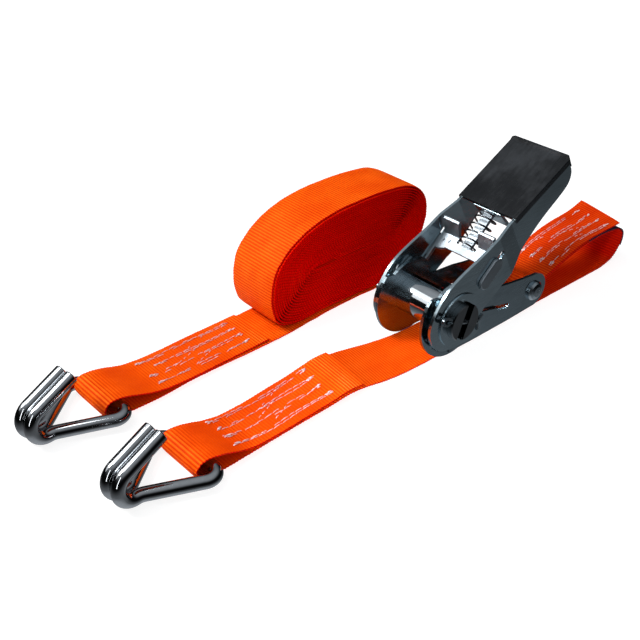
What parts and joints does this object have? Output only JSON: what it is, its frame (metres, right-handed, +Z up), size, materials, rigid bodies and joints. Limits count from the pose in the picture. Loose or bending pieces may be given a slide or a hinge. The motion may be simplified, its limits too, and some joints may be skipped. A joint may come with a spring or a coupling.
{
  "type": "ratchet tie down",
  "caption": "Ratchet tie down: a short strap with a hand-levered ratchet buckle, a long strap wound in a roll, and a double-J wire hook on the end of each.",
  "frame": {"origin": "on the floor, on the underside of the short strap, below the middle of the winding spool's axis", "axes": "+X along the straps from the hooks towards the buckle's loop, +Y from the short strap towards the long strap's roll along the spool's axis, +Z up"},
  "size_m": [0.3169, 0.0996, 0.0788],
  "materials": {
    "frame_steel": "bright zinc plating on pressed steel",
    "handle_steel": "bright zinc plating on pressed steel",
    "slide_steel": "bright zinc plating on pressed steel",
    "spool_steel": "bright zinc plating on pressed steel",
    "hook_steel": "bright zinc plating on pressed steel",
    "spring_steel": "plated spring wire",
    "grip_black": "glossy black",
    "webbing": "ribbed orange polyester webbing",
    "label": "dark navy woven label, blank"
  },
  "bodies": {
    "frame": {"frame_plate_near": "frame_steel", "frame_plate_far": "frame_steel", "anchor_bolt": "frame_steel", "anchor_nut": "frame_steel", "anchor_sleeve": "frame_steel", "lock_spring_seat": "frame_steel", "lock_spring": "spring_steel", "short_strap": "webbing", "strap_label": "label"},
    "handle": {"handle_channel": "handle_steel", "grip_cover": "grip_black", "drive_spring": "spring_steel"},
    "drive_slide": {"drive_slide": "slide_steel"},
    "lock_slide": {"lock_slide": "slide_steel"},
    "spool": {"mandrel_half_upper": "spool_steel", "mandrel_half_lower": "spool_steel", "ratchet_wheel_near": "spool_steel", "ratchet_wheel_far": "spool_steel", "split_pin_near": "spool_steel", "split_pin_far": "spool_steel"},
    "short_hook": {"short_hook": "hook_steel"},
    "long_hook": {"long_hook": "hook_steel"},
    "long_strap": {"long_strap": "webbing"}
  },
  "joints": [
    {"name": "handle_pivot", "type": "hinge", "parent": "frame", "child": "handle", "pos_m": [0, 0, 0.02], "axis": [0, -1, 0], "range_deg": [-30, 140]},
    {"name": "drive_slide_travel", "type": "slide", "parent": "handle", "child": "drive_slide", "axis": [0.7547, 0, 0.6561], "range_m": [-0.0023, 0.0045], "stiffness_N_per_m": 800, "springref_m": -0.0023, "deforming": ["drive_spring"]},
    {"name": "lock_slide_travel", "type": "slide", "parent": "frame", "child": "lock_slide", "axis": [0.9744, 0, -0.225], "range_m": [-0.0023, 0.004], "stiffness_N_per_m": 800, "springref_m": -0.0023, "deforming": ["lock_spring"]},
    {"name": "spool_spin", "type": "hinge", "parent": "frame", "child": "spool", "pos_m": [0, 0, 0.02], "axis": [0, -1, 0], "continuous": true},
    {"name": "short_hook_swing", "type": "hinge", "parent": "frame", "child": "short_hook", "pos_m": [-0.1345, 0.00105, 0.0045], "axis": [-0.108, 0.9942, 0], "range_deg": [-120, 120]},
    {"name": "long_strap_apart", "type": "slide", "parent": "frame", "child": "long_strap", "axis": [0, 1, 0], "range_m": [0, 0.15]},
    {"name": "long_hook_swing", "type": "hinge", "parent": "long_strap", "child": "long_hook", "pos_m": [-0.1413, 0.057, 0.0045], "axis": [-0.1392, 0.9903, 0], "range_deg": [-120, 120]}
  ]
}
